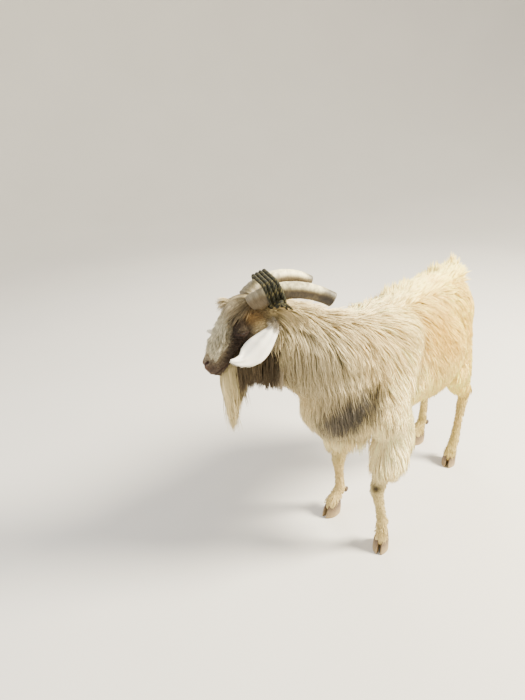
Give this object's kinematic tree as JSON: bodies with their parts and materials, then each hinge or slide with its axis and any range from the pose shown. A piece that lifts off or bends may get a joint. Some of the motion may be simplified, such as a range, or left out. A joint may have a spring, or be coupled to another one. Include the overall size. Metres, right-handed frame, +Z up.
{
  "type": "long-haired horned billy goat, standing still model",
  "caption": "Life-size still model of a long-haired cream billy goat, standing with its head turned, with horns, beard, drooping ears and a rope round the horns.",
  "frame": {"origin": "on the floor below the middle of the bounding box", "axes": "+X towards the front of the body, +Y the animal's left, +Z up"},
  "size_m": [1.04, 0.5074, 0.9114],
  "materials": {
    "coat": "long soft hair, cream to golden tan",
    "ear": "short smooth white hair",
    "horn": "worn horn, cream on top and grey brown at the sides",
    "hoof": "dull dark hoof horn",
    "eye": "wet amber eye",
    "rope": "twisted dark olive rope"
  },
  "bodies": {
    "root": {"barrel": "coat", "beard": "coat", "chest": "coat", "ear_left": "ear", "ear_right": "ear", "eye_left": "eye", "eye_right": "eye", "foreleg_left_claw_inner": "hoof", "foreleg_left_claw_outer": "hoof", "foreleg_left_dewclaw_inner": "hoof", "foreleg_left_dewclaw_outer": "hoof", "foreleg_left_lower": "coat", "foreleg_left_upper": "coat", "foreleg_right_claw_inner": "hoof", "foreleg_right_claw_outer": "hoof", "foreleg_right_dewclaw_inner": "hoof", "foreleg_right_dewclaw_outer": "hoof", "foreleg_right_lower": "coat", "foreleg_right_upper": "coat", "head": "coat", "hindleg_left_claw_inner": "hoof", "hindleg_left_claw_outer": "hoof", "hindleg_left_dewclaw_inner": "hoof", "hindleg_left_dewclaw_outer": "hoof", "hindleg_left_lower": "coat", "hindleg_left_upper": "coat", "hindleg_right_claw_inner": "hoof", "hindleg_right_claw_outer": "hoof", "hindleg_right_dewclaw_inner": "hoof", "hindleg_right_dewclaw_outer": "hoof", "hindleg_right_lower": "coat", "hindleg_right_upper": "coat", "horn_left": "horn", "horn_right": "horn", "neck": "coat", "rope_knot": "rope", "rope_turn_1": "rope", "rope_turn_2": "rope", "rope_turn_3": "rope", "rope_turn_4": "rope", "rump": "coat", "tail": "coat"}
  },
  "joints": []
}
